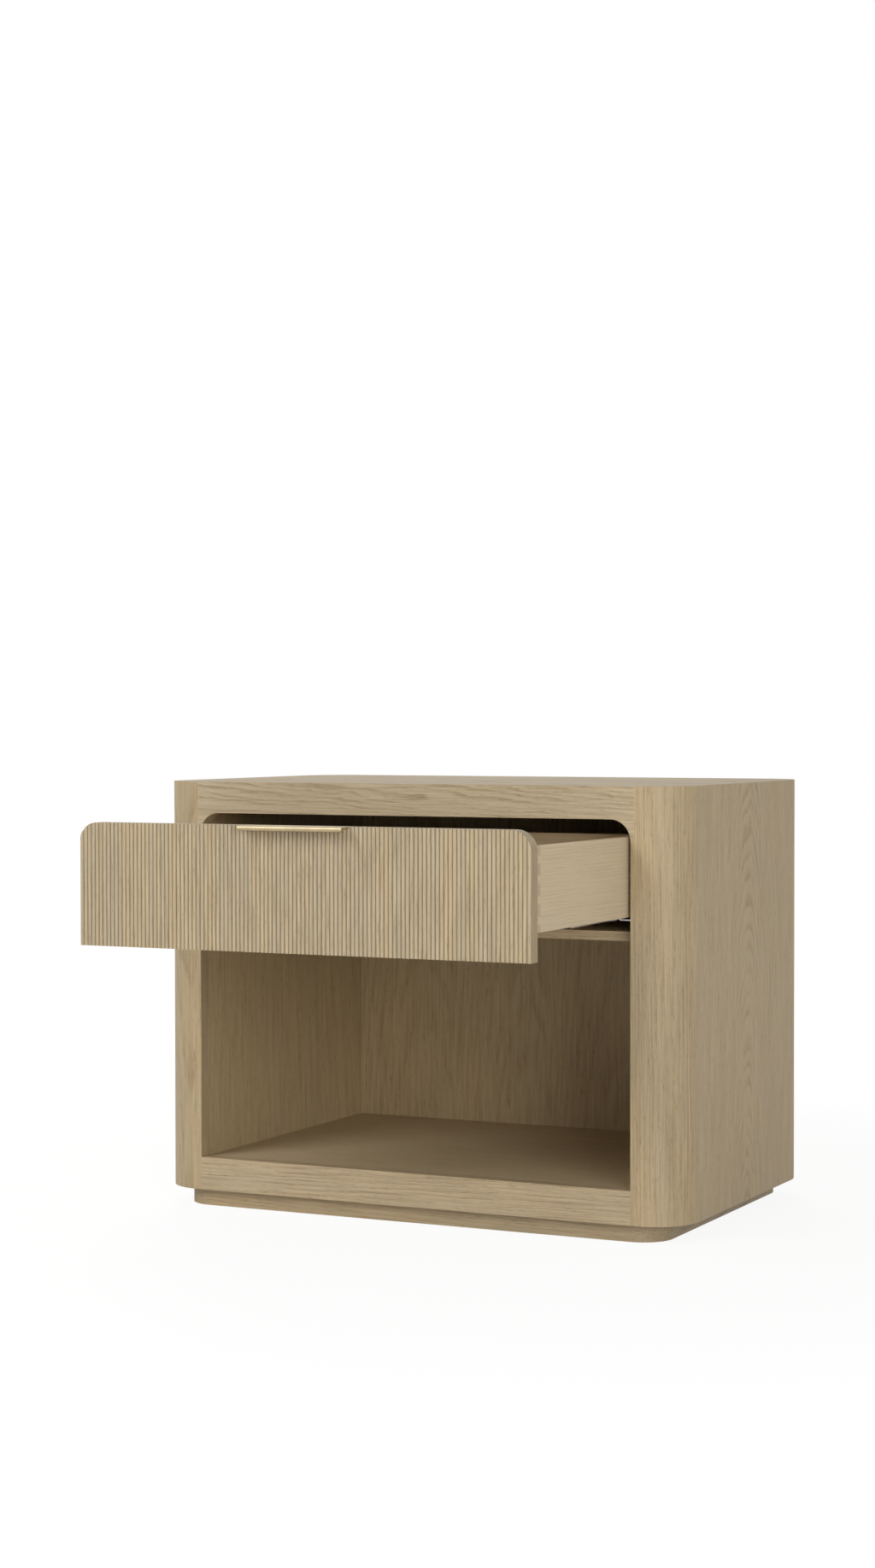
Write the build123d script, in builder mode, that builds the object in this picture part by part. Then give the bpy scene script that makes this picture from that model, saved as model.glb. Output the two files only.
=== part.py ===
from build123d import *
import os

os.makedirs("parts", exist_ok=True)

# Sizes are in millimetres. The origin is on the floor under the middle of the case,
# +X is to the right of someone facing it, +Y to the back and +Z up.
# The drawer stands open at rest.

# Case
case_width = 762.0
case_depth = 483.0
case_height = 575.0
corner_radius = 62.0
wall = 22.0
stile_width = 68.5
top_rail_height = 42.0
bottom_rail_height = 44.0
rail_lap = 4.5
post_depth = 70.0
liner_thickness = 12.0
shelf_thickness = 18.0
base_thickness = 12.0
back_thickness = 16.5
divider_thickness = 12.0
divider_setback = 24.0
lipping_depth = 19.0
housing_depth = 4.0
tongue_width = 8.0
tongue_depth = 6.0
back_tongue_width = 6.0
batten_height = 40.0
mitre_angle = 45.0

# Plinth
plinth_height = 22.5
plinth_side_inset = 32.0
plinth_front_inset = 11.0
plinth_radius = 42.0
plinth_thickness = 20.0
block_leg = 45.0
block_lift = 4.0

# Dowels and screws
dowel_radius = 4.0
dowel_length = 32.0
dowel_end_gap = 1.0
hole_clearance = 0.05
plinth_screw_radius = 2.2
plinth_screw_grip = 9.0
slide_screw_radius = 1.9
slide_screw_length = 22.0
slide_screw_count = 3
slide_screw_spacing = 150.0
front_screw_radius = 2.0
front_screw_length = 26.0
front_screw_spacing = 380.0
front_screw_rows = 48.0
pull_screw_radius = 1.5
pull_screw_length = 14.0
pull_screw_head = 2.9
pull_screw_spacing = 96.0
clip_screw_radius = 1.6
clip_screw_length = 11.0
head_ratio = 1.9
head_height = 1.8

# Drawer front and its pull
reveal = 2.5
drawer_front_height = 154.5
drawer_front_base = 16.5
front_corner_radius = 25.0
reed_count = 110
reed_depth = 2.0
reed_valley = 0.3
pull_length = 143.0
pull_reach = 19.0
pull_seat = 13.0
pull_plate = 2.2
lip_height = 6.3
lip_thickness = 6.0
lip_radius = 2.4
pull_fit = 0.2

# Drawer box
divider_cover = 14.5
box_side_gap = 5.0
box_top_drop = 20.0
box_rise = 34.0
box_length = 381.0
box_board = 14.0
bottom_thickness = 6.0
bottom_recess = 13.0
bottom_groove = 6.0
tail_pitch = 23.7
tail_share = 0.46
tail_slope = 1.6

# Slides: a case rail, a middle rail that travels half as far, and a drawer rail
drawer_open = 298.0
slide_sheet = 1.5
inner_sheet = 1.2
slide_setback = 34.0
slide_length = 350.0
middle_length = 335.0
slide_bend = 2.2
slide_drop = 6.5
case_rail_height = 28.0
case_rail_reach = 29.5
case_lip_height = 11.5
rail_gap = 1.5
notch_gap = 2.0
clip_width = 34.0
clip_length = 42.0
clip_height = 8.0
clip_gap = 2.0

# Places worked out from those sizes
half_width = case_width / 2
half_depth = case_depth / 2
half_opening = half_width - stile_width
opening_width = 2 * half_opening
inner_half_width = half_width - wall
inner_half_depth = half_depth - wall
shelf_top = plinth_height + bottom_rail_height
opening_top = case_height - top_rail_height
case_shell_height = case_height - plinth_height
mitre_bottom = case_height - wall
base_top = plinth_height + base_thickness
shell_middle = inner_half_depth + wall / 2

drawer_front_thickness = drawer_front_base + reed_depth
drawer_face = -half_depth - drawer_open
box_face = drawer_face + drawer_front_thickness
box_back_face = box_face + box_length
front_top = opening_top - reveal
front_bottom = front_top - drawer_front_height
divider_top = front_bottom + divider_cover
divider_bottom = divider_top - divider_thickness
box_top = front_top - box_top_drop
box_bottom = front_bottom + box_rise
box_height = box_top - box_bottom
box_half_width = half_opening - box_side_gap
box_inner_half = box_half_width - box_board
bottom_underside = box_bottom + bottom_recess

slide_bottom = box_bottom - slide_drop
slide_front = -half_depth + slide_setback
middle_front = slide_front - drawer_open / 2
slide_screw_height = slide_bottom + case_rail_height * 0.7
lip_top = slide_bottom + case_lip_height
middle_top = lip_top + rail_gap + inner_sheet

with BuildSketch() as case_outline:
    RectangleRounded(case_width, case_depth, corner_radius)

with BuildSketch() as inner_outline:
    RectangleRounded(2 * inner_half_width, 2 * inner_half_depth, corner_radius - wall)

with BuildSketch() as shell_outline:
    add(case_outline.sketch)
    add(inner_outline.sketch, mode=Mode.SUBTRACT)


def round_topped(width, bottom, top, radius):
    """An upright rectangle with its two upper corners rounded."""
    with BuildSketch() as outline:
        with Locations((0, (bottom + top) / 2)):
            Rectangle(width, top - bottom)
        fillet(outline.vertices().group_by(Axis.Y)[-1], radius)
    return outline.sketch


def screw(radius, length, countersunk_head=None):
    """A screw along -Z from its head's seat, or from the top of a countersunk head."""
    head = countersunk_head or radius * head_ratio
    with BuildPart() as fastener:
        with BuildSketch(Plane.XZ) as profile:
            with BuildLine():
                if countersunk_head:
                    Polyline(
                        (0, 0), (head, 0), (radius, radius - head), (radius, -length),
                        (0, -length), close=True
                    )
                else:
                    Polyline(
                        (0, head_height), (head * 0.7, head_height), (head, head_height * 0.4),
                        (head, 0), (radius, 0), (radius, -length), (0, -length), close=True
                    )
            make_face()
        revolve(axis=Axis.Z)
        top = fastener.faces().sort_by(Axis.Z)[-1]
        with BuildSketch(Plane(top.center(), z_dir=(0, 0, 1))):
            Rectangle(head, radius * 0.45)
            Rectangle(radius * 0.45, head)
        extrude(amount=-head_height * 0.5, mode=Mode.SUBTRACT)
    return fastener.part


# Top panel: one board whose edges are mitred all round to meet the walls
with BuildPart() as top_panel:
    with BuildSketch(Plane.XY.offset(case_height)):
        add(case_outline.sketch)
    extrude(amount=-wall, taper=mitre_angle)
top_panel.part.label = "top_panel"
export_step(top_panel.part, "parts/top_panel.step")

# Dowels that join the four rails to the posts
top_dowel_height = opening_top + (top_rail_height - wall) / 2
bottom_dowel_heights = [plinth_height + bottom_rail_height * share for share in (0.27, 0.73)]
dowel_places = []
for x_sign in (-1, 1):
    for y_sign, top_joint in ((-1, half_opening + rail_lap), (1, half_opening)):
        y = y_sign * shell_middle
        dowel_places.append((x_sign * top_joint, y, top_dowel_height))
        dowel_places += [(x_sign * half_opening, y, z) for z in bottom_dowel_heights]
dowel_locations = [Location(place, (0, 90, 0)) for place in dowel_places]

with BuildPart() as case_dowels:
    with Locations(*dowel_locations):
        Cylinder(dowel_radius, dowel_length)
    chamfer(case_dowels.edges().filter_by(GeomType.CIRCLE), dowel_radius / 4)
case_dowels.part.label = "case_dowels"
export_step(case_dowels.part, "parts/case_dowels.step")

with BuildPart() as dowel_holes:
    with Locations(*dowel_locations):
        Cylinder(dowel_radius + hole_clearance, dowel_length + 2 * dowel_end_gap)

# Front rails: the top one carries the rounded corners of the opening
opening = round_topped(
    opening_width, shelf_top, opening_top, front_corner_radius + reveal
)
spandrel_foot = opening_top - front_corner_radius - reveal

with BuildPart() as top_rail_front:
    with BuildSketch(Plane.XZ.offset(half_depth)):
        with Locations((0, (spandrel_foot + case_height) / 2)):
            Rectangle(opening_width + 2 * rail_lap, case_height - spandrel_foot)
        add(opening, mode=Mode.SUBTRACT)
    extrude(amount=-wall)
    add(top_panel.part, mode=Mode.SUBTRACT)
    add(dowel_holes.part, mode=Mode.SUBTRACT)
top_rail_front.part.label = "top_rail_front"
export_step(top_rail_front.part, "parts/top_rail_front.step")

with BuildPart() as bottom_rail_front:
    with Locations((0, -shell_middle, (plinth_height + shelf_top) / 2)):
        Box(opening_width, wall, bottom_rail_height)
    add(dowel_holes.part, mode=Mode.SUBTRACT)
bottom_rail_front.part.label = "bottom_rail_front"
export_step(bottom_rail_front.part, "parts/bottom_rail_front.step")

# Back panel: flush with the back of the case, tongued into the rails and posts round it
back_panel_height = opening_top - shelf_top
with BuildPart() as back_panel:
    with Locations((0, half_depth - back_thickness / 2, (shelf_top + opening_top) / 2)):
        Box(opening_width, back_thickness, back_panel_height)
        Box(
            opening_width + 2 * tongue_depth,
            back_tongue_width,
            back_panel_height + 2 * tongue_depth,
        )
back_panel.part.label = "back_panel"
export_step(back_panel.part, "parts/back_panel.step")

with BuildPart() as top_rail_back:
    with Locations((0, shell_middle, (opening_top + case_height) / 2)):
        Box(opening_width, wall, top_rail_height)
    for cutter in (top_panel, dowel_holes, back_panel):
        add(cutter.part, mode=Mode.SUBTRACT)
top_rail_back.part.label = "top_rail_back"
export_step(top_rail_back.part, "parts/top_rail_back.step")

with BuildPart() as bottom_rail_back:
    with Locations((0, shell_middle, (plinth_height + shelf_top) / 2)):
        Box(opening_width, wall, bottom_rail_height)
    for cutter in (dowel_holes, back_panel):
        add(cutter.part, mode=Mode.SUBTRACT)
bottom_rail_back.part.label = "bottom_rail_back"
export_step(bottom_rail_back.part, "parts/bottom_rail_back.step")

# Side panels: boards between the posts, with a tongue along each upright edge
side_length = case_depth - 2 * post_depth
side_panels = {}
for side, x_sign in (("left", -1), ("right", 1)):
    with BuildPart() as side_panel:
        with BuildSketch(Plane.XY.offset(plinth_height)):
            with Locations((x_sign * (half_width - wall / 2), 0)):
                Rectangle(wall, side_length)
                Rectangle(tongue_width, side_length + 2 * tongue_depth)
        extrude(amount=case_shell_height)
        add(top_panel.part, mode=Mode.SUBTRACT)
    side_panels[side] = side_panel
    side_panel.part.label = f"{side}_side_panel"
    export_step(side_panel.part, f"parts/{side}_side_panel.step")

# Corner posts: rounded outside and hollow inside, each with a short leg to the front or
# back and a longer one along the side
for side, x_sign in (("left", -1), ("right", 1)):
    for end, y_sign in (("front", -1), ("back", 1)):
        with BuildPart() as post:
            with BuildSketch(Plane.XY.offset(plinth_height)):
                add(shell_outline.sketch)
                with Locations(
                    (x_sign * (half_width - stile_width / 2), y_sign * (half_depth - post_depth / 2))
                ):
                    Rectangle(stile_width, post_depth, mode=Mode.INTERSECT)
            extrude(amount=case_shell_height)
            for cutter in (top_panel, dowel_holes, back_panel, top_rail_front, side_panels[side]):
                add(cutter.part, mode=Mode.SUBTRACT)
        post.part.label = f"{end}_{side}_post"
        export_step(post.part, f"parts/{end}_{side}_post.step")

# Base panel: closes the case underneath and carries the plinth
plinth_half_width = half_width - plinth_side_inset
plinth_half_depth = half_depth - plinth_front_inset
plinth_inner_width = plinth_half_width - plinth_thickness
plinth_inner_depth = plinth_half_depth - plinth_thickness
block_places = [
    (x_sign * (plinth_inner_width - block_leg / 3), y_sign * (plinth_inner_depth - block_leg / 3))
    for x_sign in (-1, 1)
    for y_sign in (-1, 1)
]
plinth_screw_length = plinth_height - block_lift + plinth_screw_grip

with BuildPart() as base_panel:
    with BuildSketch(Plane.XY.offset(plinth_height)):
        add(inner_outline.sketch)
        with Locations(*block_places):
            Circle(plinth_screw_radius + hole_clearance, mode=Mode.SUBTRACT)
    extrude(amount=base_thickness)
base_panel.part.label = "base_panel"
export_step(base_panel.part, "parts/base_panel.step")

# Shelf, divider and the lipping on the divider's front edge, housed in the liners
with BuildPart() as shelf_panel:
    with Locations((0, 0, shelf_top - shelf_thickness / 2)):
        Box(opening_width + 2 * housing_depth, 2 * inner_half_depth, shelf_thickness)
shelf_panel.part.label = "shelf_panel"
export_step(shelf_panel.part, "parts/shelf_panel.step")

lipping_front = -half_depth + divider_setback
divider_front = lipping_front + lipping_depth
divider_back = half_depth - back_thickness

with BuildPart() as divider_lipping:
    with BuildSketch(Plane.XY.offset(divider_bottom)):
        with Locations((0, lipping_front + lipping_depth / 2)):
            Rectangle(opening_width + 2 * housing_depth, lipping_depth)
    extrude(amount=divider_thickness)
divider_lipping.part.label = "divider_lipping"
export_step(divider_lipping.part, "parts/divider_lipping.step")

with BuildPart() as divider_panel:
    with BuildSketch(Plane.XY.offset(divider_bottom)):
        with Locations((0, (divider_front + inner_half_depth) / 2)):
            Rectangle(opening_width + 2 * housing_depth, inner_half_depth - divider_front)
        with Locations((0, (divider_front + divider_back) / 2)):
            Rectangle(opening_width, divider_back - divider_front)
    extrude(amount=divider_thickness)
divider_panel.part.label = "divider_panel"
export_step(divider_panel.part, "parts/divider_panel.step")

# Slide screws: a row along each side, through the case rail into liner and batten
slide_screw = screw(slide_screw_radius, slide_screw_length)
slide_screw_middle = slide_front + slide_length / 2
slide_screw_places = [
    slide_screw_middle + slide_screw_spacing * (number - (slide_screw_count - 1) / 2)
    for number in range(slide_screw_count)
]

with BuildPart() as slide_screws:
    for x_sign, turn in ((-1, 90), (1, -90)):
        for y in slide_screw_places:
            seat = (x_sign * (half_opening - slide_sheet), y, slide_screw_height)
            with Locations(Location(seat, (0, turn, 0))):
                add(slide_screw)
slide_screws.part.label = "slide_screws"
export_step(slide_screws.part, "parts/slide_screws.step")

with BuildPart() as slide_screw_holes:
    with Locations(*[Location((0, y, slide_screw_height), (0, 90, 0)) for y in slide_screw_places]):
        Cylinder(slide_screw_radius + hole_clearance, 2 * (half_opening + slide_screw_length))

# Liners: the inside walls of the opening. Battens behind them take the slide screws.
for side, x_sign in (("left", -1), ("right", 1)):
    with BuildPart() as liner:
        with BuildSketch(Plane.XY.offset(base_top)):
            with Locations((x_sign * (half_opening + liner_thickness / 2), 0)):
                Rectangle(liner_thickness, 2 * inner_half_depth)
            add(inner_outline.sketch, mode=Mode.INTERSECT)
        extrude(amount=mitre_bottom - base_top)
        for cutter in (shelf_panel, divider_lipping, divider_panel, slide_screw_holes):
            add(cutter.part, mode=Mode.SUBTRACT)
    liner.part.label = f"{side}_liner_panel"
    export_step(liner.part, f"parts/{side}_liner_panel.step")

    batten_inner = half_opening + liner_thickness
    batten_depth = inner_half_width - batten_inner
    with BuildPart() as batten:
        with Locations((x_sign * (batten_inner + batten_depth / 2), 0, slide_screw_height)):
            Box(batten_depth, side_length, batten_height)
        add(slide_screw_holes.part, mode=Mode.SUBTRACT)
    batten.part.label = f"{side}_slide_batten"
    export_step(batten.part, f"parts/{side}_slide_batten.step")

# Plinth: four rails mitred at the corners, which are rounded over, and a middle brace
with BuildSketch() as plinth_outline:
    RectangleRounded(2 * plinth_half_width, 2 * plinth_half_depth, plinth_radius)
    Rectangle(2 * plinth_inner_width, 2 * plinth_inner_depth, mode=Mode.SUBTRACT)

for name, ends in (
    ("front", ((-1, -1), (1, -1))),
    ("back", ((1, 1), (-1, 1))),
    ("left", ((-1, 1), (-1, -1))),
    ("right", ((1, -1), (1, 1))),
):
    outer_corners = [(x * plinth_half_width, y * plinth_half_depth) for x, y in ends]
    inner_corners = [(x * plinth_inner_width, y * plinth_inner_depth) for x, y in reversed(ends)]
    with BuildPart() as plinth_rail:
        with BuildSketch():
            with BuildLine():
                Polyline(*outer_corners, *inner_corners, close=True)
            make_face()
            add(plinth_outline.sketch, mode=Mode.INTERSECT)
        extrude(amount=plinth_height)
    plinth_rail.part.label = f"plinth_{name}"
    export_step(plinth_rail.part, f"parts/plinth_{name}.step")

with BuildPart() as plinth_brace:
    with Locations((0, 0, plinth_height / 2)):
        Box(plinth_thickness, 2 * plinth_inner_depth, plinth_height)
plinth_brace.part.label = "plinth_brace"
export_step(plinth_brace.part, "parts/plinth_brace.step")

# Corner blocks inside the plinth, screwed up into the base panel
with BuildPart() as plinth_corner_blocks:
    with BuildSketch(Plane.XY.offset(block_lift)):
        for x_sign in (-1, 1):
            for y_sign in (-1, 1):
                corner_x = x_sign * plinth_inner_width
                corner_y = y_sign * plinth_inner_depth
                with BuildLine():
                    Polyline(
                        (corner_x, corner_y),
                        (corner_x - x_sign * block_leg, corner_y),
                        (corner_x, corner_y - y_sign * block_leg),
                        close=True,
                    )
                make_face()
        with Locations(*block_places):
            Circle(plinth_screw_radius + hole_clearance, mode=Mode.SUBTRACT)
    extrude(amount=plinth_height - block_lift)
plinth_corner_blocks.part.label = "plinth_corner_blocks"
export_step(plinth_corner_blocks.part, "parts/plinth_corner_blocks.step")

plinth_screw = screw(plinth_screw_radius, plinth_screw_length)
with BuildPart() as plinth_screws:
    with Locations(*[Location((x, y, block_lift), (180, 0, 0)) for x, y in block_places]):
        add(plinth_screw)
plinth_screws.part.label = "plinth_screws"
export_step(plinth_screws.part, "parts/plinth_screws.step")

# Pull: a folded plate let into the top edge of the drawer front, with a rounded lip ahead
pull_front = drawer_face - pull_reach
pull_screw_y = drawer_face + pull_seat / 2
pull_screw_places = [(sign * pull_screw_spacing / 2, pull_screw_y, front_top) for sign in (-1, 1)]

with BuildPart() as drawer_pull:
    with BuildSketch(Plane.YZ.offset(-pull_length / 2)) as pull_section:
        with Locations((pull_front, front_top)):
            Rectangle(pull_reach + pull_seat, pull_plate, align=(Align.MIN, Align.MAX))
            Rectangle(lip_thickness, lip_height, align=(Align.MIN, Align.MAX))
        lip_corners = pull_section.vertices().group_by(Axis.X)[0]
        fillet(lip_corners, lip_radius)
    extrude(amount=pull_length)
    with Locations(*pull_screw_places):
        CounterSinkHole(
            pull_screw_radius + hole_clearance,
            pull_screw_head + hole_clearance,
            counter_sink_angle=90,
        )
drawer_pull.part.label = "drawer_pull"
export_step(drawer_pull.part, "parts/drawer_pull.step")

pull_screw = screw(pull_screw_radius, pull_screw_length, pull_screw_head)
with BuildPart() as pull_screws:
    with Locations(*pull_screw_places):
        add(pull_screw)
pull_screws.part.label = "pull_screws"
export_step(pull_screws.part, "parts/pull_screws.step")

# Drawer front: a board with its face worked into upright reeds and rounded upper corners
front_width = opening_width - 2 * reveal
reed_pitch = front_width / reed_count
reed_half = (reed_pitch - reed_valley) / 2
reed_radius = (reed_half**2 + reed_depth**2) / (2 * reed_depth)
valley_plane = drawer_face + reed_depth

front_screw_height = (bottom_underside + box_top) / 2
front_screw_places = [
    (x_sign * front_screw_spacing / 2, front_screw_height + z_sign * front_screw_rows / 2)
    for x_sign in (-1, 1)
    for z_sign in (-1, 1)
]

with BuildPart() as front_screw_holes:
    with BuildSketch(Plane.XZ.offset(-box_face - box_board)):
        with Locations(*front_screw_places):
            Circle(front_screw_radius + hole_clearance)
    extrude(amount=front_screw_length)

with BuildPart() as drawer_front:
    with BuildSketch(Plane.XY.offset(front_bottom)):
        with GridLocations(reed_pitch, 0, reed_count, 1):
            with Locations((0, drawer_face + reed_radius)):
                Circle(reed_radius)
        with Locations((0, drawer_face)):
            Rectangle(
                front_width, reed_depth, align=(Align.CENTER, Align.MIN), mode=Mode.INTERSECT
            )
        with Locations((0, valley_plane)):
            Rectangle(front_width, drawer_front_base, align=(Align.CENTER, Align.MIN))
    extrude(amount=drawer_front_height)
    with BuildSketch(Plane.XZ.offset(-drawer_face)):
        add(round_topped(front_width, front_bottom, front_top, front_corner_radius))
    extrude(amount=-drawer_front_thickness, mode=Mode.INTERSECT)
    with Locations((0, drawer_face, front_top)):
        Box(
            pull_length + 2 * pull_fit,
            pull_seat + pull_fit,
            pull_plate,
            align=(Align.CENTER, Align.MIN, Align.MAX),
            mode=Mode.SUBTRACT,
        )
    with Locations(*pull_screw_places):
        Cylinder(
            pull_screw_radius + hole_clearance,
            pull_screw_length,
            align=(Align.CENTER, Align.CENTER, Align.MAX),
            mode=Mode.SUBTRACT,
        )
    add(front_screw_holes.part, mode=Mode.SUBTRACT)
drawer_front.part.label = "drawer_front"
export_step(drawer_front.part, "parts/drawer_front.step")

# Locking clips and rails sit under the drawer bottom, so their places come first
case_lip_place = half_opening - case_rail_reach
outer_wall = case_lip_place + slide_sheet + rail_gap + inner_sheet / 2
inner_wall = case_lip_place - rail_gap - inner_sheet / 2
hook_wall = inner_wall - rail_gap - inner_sheet
clip_outer = hook_wall - inner_sheet / 2
clip_middle = clip_outer - clip_width / 2
clip_y = box_face + box_board + clip_gap + clip_length / 2
clip_screw_places = [
    (x_sign * clip_middle, clip_y + y_sign * clip_length / 4)
    for x_sign in (-1, 1)
    for y_sign in (-1, 1)
]

# Drawer bottom: a thin panel held in grooves on all four sides of the box
with BuildPart() as drawer_bottom:
    with Locations((0, box_face + box_length / 2, bottom_underside)):
        Box(
            2 * (box_inner_half + bottom_groove),
            box_length - 2 * (box_board - bottom_groove),
            bottom_thickness,
            align=(Align.CENTER, Align.CENTER, Align.MIN),
        )
    with Locations(*[(x, y, bottom_underside) for x, y in clip_screw_places]):
        Cylinder(
            clip_screw_radius + hole_clearance,
            clip_screw_length - clip_height + dowel_end_gap,
            align=(Align.CENTER, Align.CENTER, Align.MIN),
            mode=Mode.SUBTRACT,
        )
drawer_bottom.part.label = "drawer_bottom"
export_step(drawer_bottom.part, "parts/drawer_bottom.step")

# Dovetails: tails on the ends of the sides, sockets between the pins of front and back
tail_count = int(box_height // tail_pitch)
tail_half = tail_pitch * tail_share / 2
box_middle_height = (box_bottom + box_top) / 2
tail_heights = [
    box_middle_height + tail_pitch * (number - (tail_count - 1) / 2)
    for number in range(tail_count)
]

with BuildPart() as tails:
    for inner_plane in (-box_half_width, box_inner_half):
        with BuildSketch(Plane.YZ.offset(inner_plane)):
            for end_y, root_y in (
                (box_face, box_face + box_board),
                (box_back_face, box_back_face - box_board),
            ):
                for z in tail_heights:
                    with BuildLine():
                        Polyline(
                            (end_y, z - tail_half - tail_slope),
                            (end_y, z + tail_half + tail_slope),
                            (root_y, z + tail_half - tail_slope),
                            (root_y, z - tail_half + tail_slope),
                            close=True,
                        )
                    make_face()
        extrude(amount=box_board)

# Drawer sides
for side, x_sign in (("left", -1), ("right", 1)):
    side_middle = x_sign * (box_inner_half + box_board / 2)
    with BuildPart() as drawer_side:
        add(tails.part)
        with Locations((side_middle, box_face + box_length / 2, box_middle_height)):
            Box(box_board, box_length - 2 * box_board, box_height)
            Box(box_board, box_length, box_height, mode=Mode.INTERSECT)
        add(drawer_bottom.part, mode=Mode.SUBTRACT)
    drawer_side.part.label = f"drawer_side_{side}"
    export_step(drawer_side.part, f"parts/drawer_side_{side}.step")

# Front and back of the box, the back notched below the bottom panel for the slides
notch_width = outer_wall - inner_wall + inner_sheet + 2 * notch_gap
notch_middle = (outer_wall + inner_wall) / 2

with BuildPart() as slide_notches:
    with Locations(*[(sign * notch_middle, box_back_face, box_bottom) for sign in (-1, 1)]):
        Box(notch_width, box_board, bottom_recess, align=(Align.CENTER, Align.MAX, Align.MIN))

for end, y, cuts in (
    ("front", box_face + box_board / 2, front_screw_holes),
    ("back", box_back_face - box_board / 2, slide_notches),
):
    with BuildPart() as box_end:
        with Locations((0, y, box_middle_height)):
            Box(2 * box_half_width, box_board, box_height)
        for cutter in (tails, drawer_bottom, cuts):
            add(cutter.part, mode=Mode.SUBTRACT)
    box_end.part.label = f"drawer_box_{end}"
    export_step(box_end.part, f"parts/drawer_box_{end}.step")

front_screw = screw(front_screw_radius, front_screw_length)
with BuildPart() as front_fixing_screws:
    for x, z in front_screw_places:
        with Locations(Location((x, box_face + box_board, z), (-90, 0, 0))):
            add(front_screw)
front_fixing_screws.part.label = "front_fixing_screws"
export_step(front_fixing_screws.part, "parts/front_fixing_screws.step")


def folded(plane, points, sheet, length, bend):
    """A strip of sheet folded along a centre line, from its front plane towards the back."""
    with BuildPart() as strip:
        with BuildSketch(plane):
            with BuildLine():
                FilletPolyline(*points, radius=bend)
            trace(line_width=sheet)
        extrude(amount=-length)
    return strip.part


# Slides under each side of the drawer box
middle_flange = middle_top - inner_sheet / 2
drawer_rail_flange = bottom_underside - inner_sheet / 2
drawer_rail_length = box_length - 2 * box_board

for side, x_sign in (("left", -1), ("right", 1)):
    web = x_sign * (half_opening - slide_sheet / 2)
    lip = x_sign * (case_lip_place + slide_sheet / 2)
    case_floor = slide_bottom + slide_sheet / 2
    case_rail = folded(
        Plane.XZ.offset(-slide_front),
        [(web, slide_bottom + case_rail_height), (web, case_floor), (lip, case_floor), (lip, lip_top)],
        slide_sheet, slide_length, slide_bend,
    )
    with BuildPart() as slide_case_rail:
        add(case_rail)
        add(slide_screw_holes.part, mode=Mode.SUBTRACT)
    slide_case_rail.part.label = f"{side}_slide_case_rail"
    export_step(slide_case_rail.part, f"parts/{side}_slide_case_rail.step")

    slide_middle_rail = folded(
        Plane.XZ.offset(-middle_front),
        [
            (x_sign * outer_wall, slide_bottom + slide_sheet + rail_gap),
            (x_sign * outer_wall, middle_flange),
            (x_sign * inner_wall, middle_flange),
            (x_sign * inner_wall, slide_bottom),
        ],
        inner_sheet, middle_length, slide_bend / 2,
    )
    slide_middle_rail.label = f"{side}_slide_middle_rail"
    export_step(slide_middle_rail, f"parts/{side}_slide_middle_rail.step")

    slide_drawer_rail = folded(
        Plane.XZ.offset(-box_face - box_board),
        [
            (x_sign * box_inner_half, drawer_rail_flange),
            (x_sign * hook_wall, drawer_rail_flange),
            (x_sign * hook_wall, box_bottom),
        ],
        inner_sheet, drawer_rail_length, slide_bend / 2,
    )
    slide_drawer_rail.label = f"{side}_slide_drawer_rail"
    export_step(slide_drawer_rail, f"parts/{side}_slide_drawer_rail.step")

# Locking clips behind the box front, screwed up into the drawer bottom
for side, x_sign in (("left", -1), ("right", 1)):
    with BuildPart() as locking_clip:
        with BuildSketch(Plane.XY.offset(bottom_underside - clip_height)):
            with Locations((x_sign * clip_middle, clip_y)):
                Rectangle(clip_width, clip_length)
            with Locations(*clip_screw_places):
                Circle(clip_screw_radius + hole_clearance, mode=Mode.SUBTRACT)
        extrude(amount=clip_height)
        underside = locking_clip.faces().sort_by(Axis.Z)[0]
        chamfer(underside.outer_wire().edges().filter_by(Axis.X), clip_height / 2)
    locking_clip.part.label = f"{side}_locking_clip"
    export_step(locking_clip.part, f"parts/{side}_locking_clip.step")

clip_screw = screw(clip_screw_radius, clip_screw_length)
with BuildPart() as clip_screws:
    for x, y in clip_screw_places:
        with Locations(Location((x, y, bottom_underside - clip_height), (180, 0, 0))):
            add(clip_screw)
clip_screws.part.label = "clip_screws"
export_step(clip_screws.part, "parts/clip_screws.step")
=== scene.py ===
import math
import bpy
from mathutils import Matrix, Vector


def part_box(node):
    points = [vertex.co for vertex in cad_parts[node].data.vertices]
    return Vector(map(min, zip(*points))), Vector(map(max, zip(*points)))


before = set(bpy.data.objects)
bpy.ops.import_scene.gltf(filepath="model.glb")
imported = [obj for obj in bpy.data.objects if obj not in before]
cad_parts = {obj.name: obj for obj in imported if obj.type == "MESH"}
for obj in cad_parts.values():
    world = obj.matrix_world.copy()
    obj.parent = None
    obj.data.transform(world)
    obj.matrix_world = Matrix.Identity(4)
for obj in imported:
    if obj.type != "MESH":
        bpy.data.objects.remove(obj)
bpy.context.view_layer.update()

# The four corner posts and the two side panels are solid limed oak with the grain standing upright. The
# posts are rounded outside, dowelled and glued to the rails, and grooved for the tongues of the panels.
# The front right post comes from a board of its own, with a wavier figure.


def blank(block):
    """The emptied node tree of a new material or world."""
    block.use_nodes = True
    block.node_tree.nodes.clear()
    return block.node_tree


def feed(tree, socket, value):
    """Links a socket to another node's output, or sets it where the value is a plain one."""
    if isinstance(value, bpy.types.NodeSocket):
        tree.links.new(value, socket)
    elif value is not None:
        socket.default_value = value


def wire(tree, kind, *inputs, out=0, **settings):
    """One shader node: its sockets are fed in order, and the asked output comes back."""
    node = tree.nodes.new("ShaderNode" + kind)
    for key, value in settings.items():
        setattr(node, key, value)
    for socket, value in zip(node.inputs, inputs):
        feed(tree, socket, value)
    return node.outputs[out]


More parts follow.
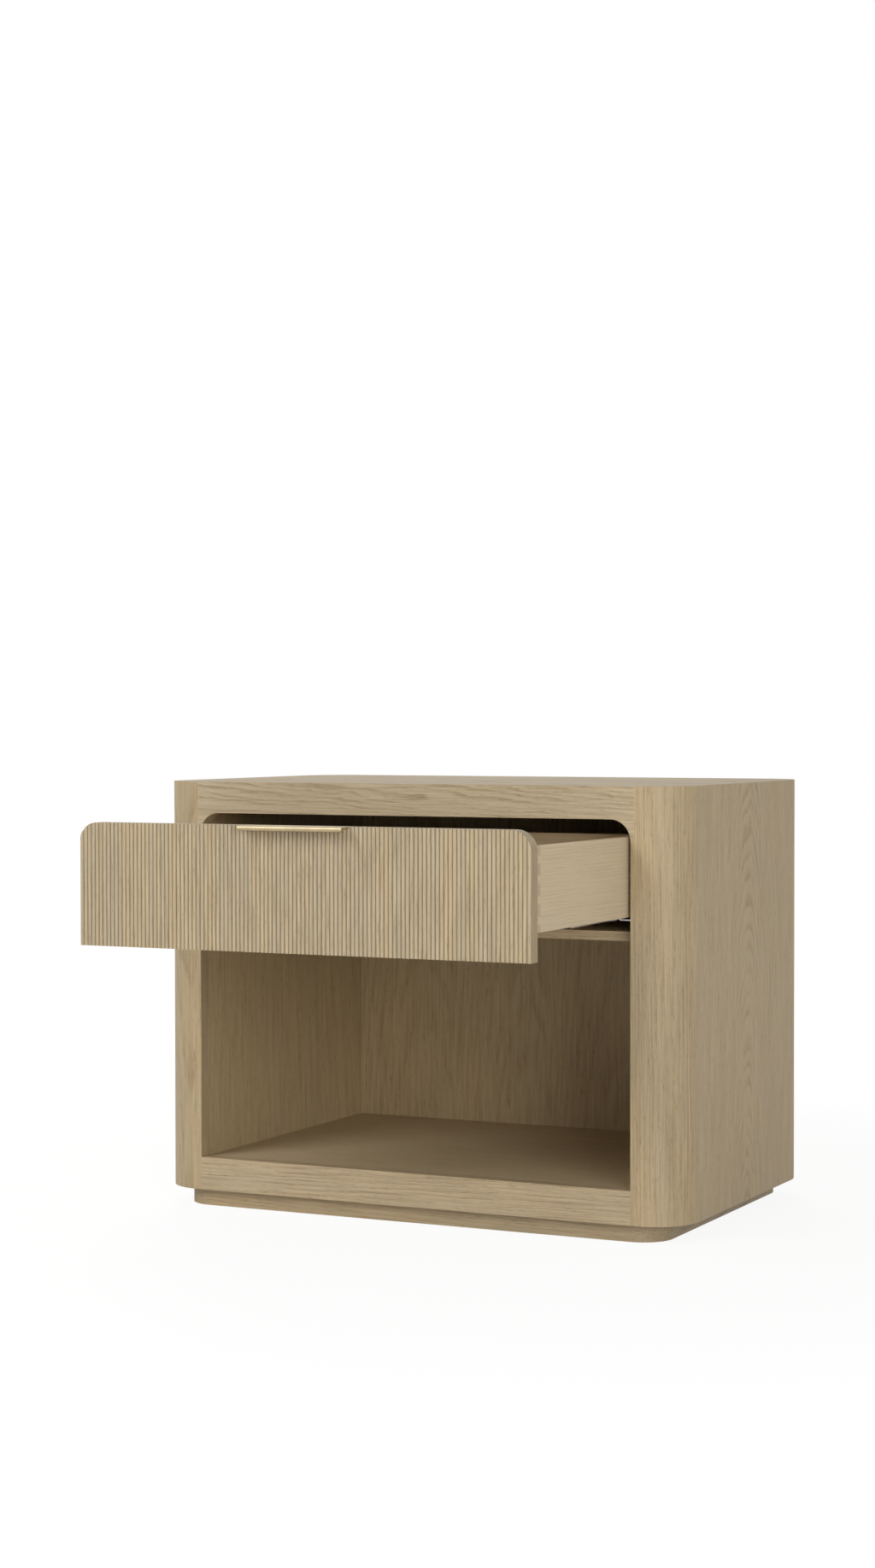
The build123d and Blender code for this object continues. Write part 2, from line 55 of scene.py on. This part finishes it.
def reckon(tree, action, *values):
    """One step of arithmetic on sockets and plain numbers."""
    return wire(tree, "Math", *values, operation=action)


def spread(tree, value, low, high, start, end):
    """A value from low to high eased into start to end, and held outside that."""
    return wire(tree, "MapRange", value, low, high, start, end, interpolation_type="SMOOTHSTEP")


def tint(tree, share, under, over, way="MIX"):
    """The colour under with a share of the colour over laid on it."""
    node = tree.nodes.new("ShaderNodeMix")
    node.data_type = "RGBA"
    node.blend_type = way
    for socket, value in zip((node.inputs[0], node.inputs[6], node.inputs[7]), (share, under, over)):
        feed(tree, socket, (*value, 1.0) if isinstance(value, tuple) else value)
    return node.outputs[2]


def mottle(tree, place, size, layers, seed):
    """Soft noise whose patches are about size metres across."""
    fine_share = 0.55
    return wire(tree, "TexNoise", place, seed, 1 / size, layers, fine_share, noise_dimensions="4D")


def finish(name):
    """A new material with its shader, ready to be wired."""
    look = bpy.data.materials.new(name)
    tree = blank(look)
    shader = tree.nodes.new("ShaderNodeBsdfPrincipled")
    tree.links.new(shader.outputs[0], tree.nodes.new("ShaderNodeOutputMaterial").inputs[0])
    return look, tree, shader


def raise_grain(tree, shader, height, depth):
    """Relief on the surface, where a height of 1 stands depth metres above 0."""
    strength = 0.6
    filter_width = 1.0
    bump = wire(tree, "Bump", strength, depth, filter_width, height)
    tree.links.new(bump, shader.inputs["Normal"])


def timber(name, order, heart, ring=0.0042, lean=0.05, leaf=0.0, reeds=None, seed=0.0,
           warm=(0.43, 0.328, 0.192), grey=(0.412, 0.322, 0.198), bands=0.8, lines=0.34, pores=0.4,
           fibres=0.135, wave=0.006, ripple=0.0007):
    """Limed oak, or another wood where its tones are given.

    order names the axes along the grain, across the face and into the board. heart is where the middle
    of the tree lay, across and into it, ring is one year's growth, and lean is how far the tree leans in
    each metre. A face may be made up of leaves of one width, or worked into reeds, given as half their
    width together and their pitch. warm and grey are its two tones, and bands, lines, pores and fibres say
    how strongly each shows. wave and ripple are how far the rings wander, slowly and quickly.
    """
    ring_brown = (0.26, 0.17, 0.085)
    pore_brown = (0.13, 0.085, 0.045)
    end_brown, end_share = (0.25, 0.175, 0.10), 0.34
    look, tree, shader = finish(name)
    split = wire(tree, "SeparateXYZ", wire(tree, "TexCoord", out="Object")).node
    along, across, deep = (split.outputs[letter.upper()] for letter in order)

    def strip(place, width):
        """The number of the leaf or reed at a place, and its own chance from 0 to 1."""
        number = reckon(tree, "FLOOR", reckon(tree, "DIVIDE", place, width))
        lot = reckon(tree, "ADD", number, seed)
        return number, wire(tree, "TexWhiteNoise", None, lot, noise_dimensions="1D")

    # Each leaf or reed shows another stretch of the figure.
    chance = None
    if leaf:
        leaf_shift = 0.8 * leaf
        leaf_slip = 2.7
        number, chance = strip(across, leaf)
        across = reckon(tree, "SUBTRACT", across, reckon(tree, "MULTIPLY_ADD", number, leaf, leaf / 2))
        across = reckon(tree, "ADD", across,
                        reckon(tree, "MULTIPLY_ADD", chance, leaf_shift, -leaf_shift / 2))
        along = reckon(tree, "MULTIPLY_ADD", chance, leaf_slip, along)
    if reeds:
        reed_slip = 0.35
        half_width, pitch = reeds
        chance = strip(reckon(tree, "ADD", across, half_width), pitch)[1]
        along = reckon(tree, "MULTIPLY_ADD", chance, reed_slip, along)

    def streaks(width, share, layers, batch):
        """Noise in streaks about width metres across, and longer along the grain by 1 / share."""
        place = wire(tree, "CombineXYZ", reckon(tree, "MULTIPLY", along, share), across, deep)
        return mottle(tree, place, width, layers, seed + batch)

    # The rings lie round the heart. early is 1 in the open wood that each spring lays down.
    off = reckon(tree, "SUBTRACT", across, heart[0])
    below = reckon(tree, "MULTIPLY_ADD", along, lean, reckon(tree, "SUBTRACT", deep, heart[1]))
    reach = reckon(tree, "SQRT", reckon(tree, "ADD", reckon(tree, "MULTIPLY", off, off),
                                        reckon(tree, "MULTIPLY", below, below)))
    reach = reckon(tree, "MULTIPLY_ADD", streaks(0.05, 0.07, 2.0, 0), wave, reach)
    reach = reckon(tree, "MULTIPLY_ADD", streaks(0.016, 0.3, 2.0, 5), ripple, reach)
    years = reckon(tree, "DIVIDE", reach, ring)
    growth_pace, growth_swing = 0.35, 1.6
    growth = wire(tree, "TexNoise", None, reckon(tree, "MULTIPLY", years, growth_pace), 1.0, 1.0,
                  noise_dimensions="1D")
    season = reckon(tree, "FRACT", reckon(tree, "MULTIPLY_ADD", growth, growth_swing, years))
    full_spring, summer = 0.12, 0.72
    early = reckon(tree, "MULTIPLY", spread(tree, season, 0.0, full_spring, 0.0, 1.0),
                   spread(tree, season, full_spring, summer, 1.0, 0.0))
    patchy = spread(tree, streaks(0.012, 0.12, 2.0, 3), 0.34, 0.62, 0.15, 1.0)
    early = reckon(tree, "MULTIPLY", early, patchy)

    # Fibres, the open pores that gather in the early wood, and slow bands of tone.
    fibre = streaks(0.0016, 0.018, 3.0, 1)
    fibre_low, fibre_high = 0.3, 0.7
    spring_pores = 0.075
    pore = reckon(tree, "MULTIPLY_ADD", early, spring_pores, streaks(0.0007, 0.055, 1.0, 2))
    pore_rim, pore_middle = 0.625, 0.70
    pore = spread(tree, pore, pore_rim, pore_middle, 0.0, 1.0)
    band = streaks(0.021, 0.05, 2.0, 4)
    if chance is not None:
        tone_change = 0.26
        change = reckon(tree, "MULTIPLY_ADD", chance, tone_change, -tone_change / 2)
        band = reckon(tree, "ADD", band, change)
    all_grey, all_warm = 0.36, 0.64
    band = spread(tree, band, all_grey, all_warm, 0.0, 1.0)

    colour = tint(tree, reckon(tree, "MULTIPLY", band, bands), grey, warm)
    colour = tint(tree, reckon(tree, "MULTIPLY", early, lines), colour, ring_brown)
    light = spread(tree, fibre, fibre_low, fibre_high, 1.0 - fibres, 1.0 + fibres)
    colour = tint(tree, 1.0, colour, wire(tree, "CombineXYZ", light, light, light), "MULTIPLY")
    colour = tint(tree, reckon(tree, "MULTIPLY", pore, pores), colour, pore_brown)
    facing = wire(tree, "SeparateXYZ", wire(tree, "TexCoord", out="Normal"), out=order[0].upper())
    end_grain = spread(tree, reckon(tree, "ABSOLUTE", facing), 0.5, 0.95, 0.0, end_share)
    colour = tint(tree, end_grain, colour, end_brown)
    tree.links.new(colour, shader.inputs["Base Color"])

    satin, dull, open_wood_dull = 0.44, 0.54, 0.07
    rough = spread(tree, fibre, fibre_low, fibre_high, satin, dull)
    tree.links.new(reckon(tree, "MULTIPLY_ADD", early, open_wood_dull, rough), shader.inputs["Roughness"])
    ring_sinks, pore_sinks, grain_depth = 0.35, 0.8, 0.00018
    height = reckon(tree, "MULTIPLY_ADD", early, -ring_sinks, fibre)
    raise_grain(tree, shader, reckon(tree, "MULTIPLY_ADD", pore, -pore_sinks, height), grain_depth)
    shader.inputs["Specular IOR Level"].default_value = 0.25
    return look


def dress(look, *nodes):
    """Gives a finish to these pieces."""
    for node in nodes:
        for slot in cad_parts[node].material_slots:
            slot.material = look


dress(timber("left_upright_oak", "zyx", (0.03, -0.30), lean=-0.13, seed=11.0, wave=0.012),
      "front_left_post", "back_left_post", "left_side_panel")
dress(timber("right_upright_oak", "zyx", (0.00, 0.325), lean=0.14, seed=5.0, wave=0.012, lines=0.27,
             warm=(0.455, 0.345, 0.200), grey=(0.436, 0.339, 0.206)), "back_right_post", "right_side_panel")
dress(timber("right_post_oak", "zxy", (0.350, -0.213), lean=0.018, seed=7.0, wave=0.016, ripple=0.0024,
             lines=0.32, warm=(0.463, 0.352, 0.207), grey=(0.436, 0.340, 0.210)), "front_right_post")

# The rails are oak boards lying between the posts, with the grain running along them. The front ones
# are flush with the posts, and the top one carries the rounded upper corners of the opening. Each is
# dowelled and glued into the posts, and two more from the same boards frame the back panel.
dress(timber("top_rail_oak", "xzy", (0.60, -0.16), ring=0.0030, lean=0.035, seed=21.0, wave=0.022,
             ripple=0.005, lines=0.45, warm=(0.475, 0.380, 0.243), grey=(0.456, 0.372, 0.247)),
      "top_rail_front", "top_rail_back")
dress(timber("bottom_rail_oak", "xzy", (-0.12, -0.16), ring=0.0042, lean=0.04, seed=22.0, wave=0.018,
             ripple=0.004, lines=0.42, warm=(0.460, 0.358, 0.222), grey=(0.440, 0.350, 0.226)),
      "bottom_rail_front", "bottom_rail_back")

# The top is a board of the same oak, edge-jointed from four staves with the grain along its length.
# It is mitred all round to the posts, rails and side panels, so no end grain shows.
dress(timber("top_oak", "xyz", (0.0, 0.48), lean=0.025, leaf=0.121, seed=31.0, warm=(0.440, 0.340, 0.205),
             grey=(0.410, 0.332, 0.218)), "top_panel")

# The back panel lies flush with the back of the case, tongued into the rails and posts round it. It is
# an oak board of four upright leaves, and its inner face is the back of the open bay.
dress(timber("back_oak", "zxy", (0.0, 0.05), lean=0.04, leaf=0.158, seed=41.0, lines=0.18,
             warm=(0.475, 0.358, 0.200), grey=(0.452, 0.350, 0.206)), "back_panel")

# The two liners are oak boards with straight upright grain. They cover the side panels inside and
# make the smooth walls of the open bay.
dress(timber("liner_oak", "zyx", (0.3, 0.45), lean=0.02, seed=42.0, lines=0.12,
             warm=(0.455, 0.343, 0.188), grey=(0.435, 0.336, 0.195)), "left_liner_panel",
      "right_liner_panel")

# The floor of the bay and the divider under the drawer are straight-grained oak boards housed in the
# liners, and a base board closes the case underneath. The divider has an oak lipping glued in front.
dress(timber("shelf_oak", "xyz", (0.3, -0.1), lean=0.04, seed=43.0, lines=0.14,
             warm=(0.505, 0.402, 0.252), grey=(0.485, 0.393, 0.257)), "shelf_panel", "divider_panel",
      "base_panel")
dress(timber("lipping_oak", "xzy", (0.3, 0.0), seed=44.0, lines=0.14, warm=(0.405, 0.300, 0.170),
             grey=(0.385, 0.292, 0.175)), "divider_lipping")

# The plinth stands back under the case. Its four oak rails are mitred at their rounded corners and
# stained a shade darker than the case.
plinth_tones = {"warm": (0.385, 0.290, 0.168), "grey": (0.355, 0.280, 0.175)}
dress(timber("plinth_oak", "xzy", (0.2, -0.1), seed=51.0, lines=0.3, **plinth_tones), "plinth_front",
      "plinth_back")
dress(timber("plinth_side_oak", "yzx", (0.2, -0.1), seed=52.0, lines=0.3, **plinth_tones), "plinth_left",
      "plinth_right")

# Plain sawn softwood is used where nothing shows: for the corner blocks and the brace that stiffen the
# plinth, and for the battens behind the liners that take the screws of the drawer slides.
softwood = timber("sawn_softwood", "xzy", (0.05, 0.0), ring=0.0035, seed=53.0, lines=0.5, pores=0.0,
                  wave=0.004, warm=(0.600, 0.420, 0.220), grey=(0.520, 0.380, 0.220))
dress(softwood, "plinth_brace", "plinth_corner_blocks", "left_slide_batten", "right_slide_batten")

# The dowels that join the rails to the posts are beech with chamfered ends, pressed and glued in.
# Beech is close and even, with short dark flecks in place of the oak's open pores.
dress(timber("dowel_beech", "xzy", (0.05, 0.0), ring=0.002, seed=54.0, lines=0.1, pores=0.2,
             warm=(0.550, 0.370, 0.220), grey=(0.500, 0.350, 0.220)), "case_dowels")

# The drawer front is an oak board worked into 110 upright reeds, with its upper corners rounded. Each
# reed takes the finish a little differently, and painted shade darkens its valleys and the flat edges at
# its ends.


def paint_reed_shade(look, crest, valley):
    """Paints shade into the valleys, and onto the flat edges at the ends behind them."""
    valley_shade_colour, valley_shade_share = (0.15, 0.10, 0.055), 0.42
    edge_shade_colour, edge_shade_share = (0.24, 0.165, 0.085), 0.46
    tree = look.node_tree
    base = next(node for node in tree.nodes if node.type == "BSDF_PRINCIPLED").inputs["Base Color"]
    colour = base.links[0].from_socket
    deep = wire(tree, "SeparateXYZ", wire(tree, "TexCoord", out="Object"), out="Y")
    facing = wire(tree, "SeparateXYZ", wire(tree, "TexCoord", out="Normal"), out="X")
    # Painted shade: the valleys between the reeds are darkened, most towards their bottoms.
    sunk = spread(tree, deep, crest + 0.0003, valley, 0.0, 1.0)
    in_valley = spread(tree, deep, valley + 0.0002, valley + 0.0006, valley_shade_share, 0.0)
    colour = tint(tree, reckon(tree, "MULTIPLY", sunk, in_valley), colour, valley_shade_colour)
    # Painted shade: the flat edges that face sideways at the ends, behind the reeds, are darkened.
    sideways = spread(tree, reckon(tree, "ABSOLUTE", facing), 0.90, 0.99, 0.0, edge_shade_share)
    behind = spread(tree, deep, valley + 0.0006, valley + 0.0009, 0.0, 1.0)
    colour = tint(tree, reckon(tree, "MULTIPLY", sideways, behind), colour, edge_shade_colour)
    tree.links.new(colour, base)


front_low, front_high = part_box("drawer_front")
reed_count = 110
reed_depth = 0.002
reeded_oak = timber("reeded_oak", "zxy", (0.0, -0.30), seed=61.0, lines=0.25, pores=0.35,
                    reeds=(front_high.x, 2 * front_high.x / reed_count),
                    warm=(0.482, 0.380, 0.234), grey=(0.436, 0.361, 0.243))
paint_reed_shade(reeded_oak, front_low.y, front_low.y + reed_depth)
dress(reeded_oak, "drawer_front")

# The drawer box is four oak boards with their grain lying flat, joined by through dovetails whose end
# grain shows at the corners. A thin oak-faced plywood bottom is held in grooves in all four.
box_tones = {"warm": (0.600, 0.478, 0.306), "grey": (0.575, 0.468, 0.311)}
dress(timber("box_side_oak", "yzx", (0.25, 0.2), lean=0.02, seed=71.0, lines=0.10, pores=0.12, bands=0.7,
             fibres=0.06, **box_tones), "drawer_side_left", "drawer_side_right")
dress(timber("box_end_oak", "xzy", (0.2, -0.7), lean=0.02, seed=72.0, lines=0.10, pores=0.15, bands=0.7,
             fibres=0.06, **box_tones), "drawer_box_front", "drawer_box_back")
dress(timber("bottom_ply", "xyz", (0.1, 0.6), lean=0.02, leaf=0.19, seed=73.0, lines=0.12),
      "drawer_bottom")

# The pull is a brass plate let into the top edge of the drawer front, with a rounded lip ahead of its
# face. It is brushed along its length and lacquered to a satin, and two countersunk screws hold it.


def metal(name, colour, rough, brushed, scratch, seed):
    """Metal with fine lines scratch metres deep, drawn out along the brushed axis, and faint clouding."""
    line_width, drawn_out = 0.0003, 0.01
    cloud_size, clouded = 0.02, 0.86
    cloud_dulls, lines_dull = 0.08, 0.12
    look, tree, shader = finish(name)
    place = wire(tree, "TexCoord", out="Object")
    split = wire(tree, "SeparateXYZ", place).node
    stretched = (reckon(tree, "MULTIPLY", split.outputs[axis], drawn_out if axis == brushed else 1.0)
                 for axis in "XYZ")
    lines = mottle(tree, wire(tree, "CombineXYZ", *stretched), line_width, 2.0, seed)
    cloud = mottle(tree, place, cloud_size, 3.0, seed + 1)
    darker = tuple(clouded * part for part in colour)
    base = tint(tree, spread(tree, cloud, 0.35, 0.65, 0.0, 1.0), colour, darker)
    tree.links.new(base, shader.inputs["Base Color"])
    dull = reckon(tree, "MULTIPLY_ADD", cloud, cloud_dulls, rough - (cloud_dulls + lines_dull) / 2)
    tree.links.new(reckon(tree, "MULTIPLY_ADD", lines, lines_dull, dull), shader.inputs["Roughness"])
    shader.inputs["Metallic"].default_value = 1.0
    raise_grain(tree, shader, lines, scratch)
    return look


dress(metal("satin_brass", (0.455, 0.355, 0.216), 0.42, "X", 0.00003, 81.0), "drawer_pull", "pull_screws")

# The undermount slides are folded zinc-plated sheet steel, three rails on each side under the drawer.
# Each case rail is screwed through the liner into the batten behind it.
rails = [f"{side}_slide_{rail}_rail" for side in ("left", "right") for rail in ("case", "middle", "drawer")]
dress(metal("zinc_steel", (0.62, 0.62, 0.60), 0.30, "Y", 0.00002, 82.0), *rails)

# The screws are zinc-plated steel. They hold the slides, the blocks inside the plinth, the drawer's
# front to its box, and the locking clips.
dress(metal("screw_steel", (0.55, 0.55, 0.54), 0.32, "Z", 0.00002, 83.0), "slide_screws", "plinth_screws",
      "front_fixing_screws", "clip_screws")

# The locking clips are moulded in grey plastic with a fine matt grain. One sits under each front corner
# of the drawer bottom, behind the front of the box, and two screws hold it up.
plastic, tree, shader = finish("moulded_grey")
speckle = mottle(tree, wire(tree, "TexCoord", out="Object"), 0.0009, 2.0, 84.0)
dark_grey, pale_grey = (0.105, 0.11, 0.115), (0.13, 0.135, 0.14)
speckled = tint(tree, spread(tree, speckle, 0.35, 0.65, 0.0, 1.0), dark_grey, pale_grey)
tree.links.new(speckled, shader.inputs["Base Color"])
shader.inputs["Roughness"].default_value = 0.5
raise_grain(tree, shader, speckle, 0.00005)
dress(plastic, "left_locking_clip", "right_locking_clip")

# The studio has a plain white floor that keeps a soft shadow and is clear from below, and white all
# round for the camera. Three broad soft lamps light the case: a low key from the front right, a fill
# from the front left, and one from behind on the left that is kept out of reflections.


def looked_at(tree):
    """1 for what is seen straight, in a reflection or through glass, and 0 for what only lights."""
    rays = wire(tree, "LightPath").node
    through = reckon(tree, "MAXIMUM", rays.outputs["Is Glossy Ray"], rays.outputs["Is Transmission Ray"])
    return reckon(tree, "MAXIMUM", rays.outputs["Is Camera Ray"], through)


white = (1.0, 1.0, 1.0, 1.0)
floor_reach = 14.0
corners = [(x * floor_reach, y * floor_reach, 0.0) for x, y in ((-1, -1), (1, -1), (1, 1), (-1, 1))]
floor_mesh = bpy.data.meshes.new("studio_floor")
floor_mesh.from_pydata(corners, [], [(0, 1, 2, 3)])
floor = bpy.data.objects.new("studio_floor", floor_mesh)
bpy.context.scene.collection.objects.link(floor)
paper = bpy.data.materials.new("studio_white")
tree = blank(paper)
matt = wire(tree, "BsdfDiffuse", (0.86, 0.86, 0.85, 1.0))
glow = wire(tree, "Emission", white, 1.04)
away = wire(tree, "VectorMath", wire(tree, "TexCoord", out="Object"), out="Value", operation="LENGTH")
near, far, least_glow = 0.7, 2.2, 0.87
shadowless = spread(tree, away, near, far, least_glow, 1.0)
above = wire(tree, "MixShader", reckon(tree, "MULTIPLY", looked_at(tree), shadowless), matt, glow)
underneath = wire(tree, "NewGeometry", out="Backfacing")
paper_face = wire(tree, "MixShader", underneath, above, wire(tree, "BsdfTransparent"))
tree.links.new(paper_face, tree.nodes.new("ShaderNodeOutputMaterial").inputs[0])
floor_mesh.materials.append(paper)

world = bpy.data.worlds.new("studio")
bpy.context.scene.world = world
tree = blank(world)
air = wire(tree, "Background", white, 0.27)
backdrop = wire(tree, "Background", white, 1.0)
around = wire(tree, "MixShader", looked_at(tree), air, backdrop)
tree.links.new(around, tree.nodes.new("ShaderNodeOutputWorld").inputs[0])


def lamp(name, azimuth, elevation, width, power, glare=True):
    """A square soft lamp that looks at the case; azimuth is to the right of the front, in degrees."""
    distance = 4.0
    aim = Vector((0.0, -0.2, 0.3))
    data = bpy.data.lights.new(name, "AREA")
    data.size = width
    data.energy = power
    item = bpy.data.objects.new(name, data)
    side, rise = math.radians(azimuth), math.radians(elevation)
    way = Vector((math.sin(side) * math.cos(rise), -math.cos(side) * math.cos(rise), math.sin(rise)))
    item.location = aim + way * distance
    item.rotation_euler = way.to_track_quat("Z", "Y").to_euler()
    item.visible_glossy = glare
    bpy.context.scene.collection.objects.link(item)


lamp("key", 45, 9, 1.8, 66)
lamp("fill", -30, 35, 1.8, 80)
lamp("back", -150, 20, 2.0, 85, glare=False)

# The camera stands to the right of the front, a little above the height of the top. It is far back with
# a long lens, turned towards the case and dipped slightly.
camera_place = (1.622901, -3.465311, 0.659824)
turned, dipped, rolled = 26.097, 1.351, -0.056
view = bpy.data.cameras.new("camera")
view.sensor_fit = "VERTICAL"
view.sensor_height = 36.0
view.lens = 63.72
view.clip_end = 60.0
camera = bpy.data.objects.new("camera", view)
camera.matrix_world = (Matrix.Translation(camera_place)
                       @ Matrix.Rotation(math.radians(turned), 4, "Z")
                       @ Matrix.Rotation(math.radians(90 - dipped), 4, "X")
                       @ Matrix.Rotation(math.radians(rolled), 4, "Z"))
bpy.context.scene.collection.objects.link(camera)
bpy.context.scene.camera = camera
bpy.context.scene.view_settings.view_transform = "Standard"
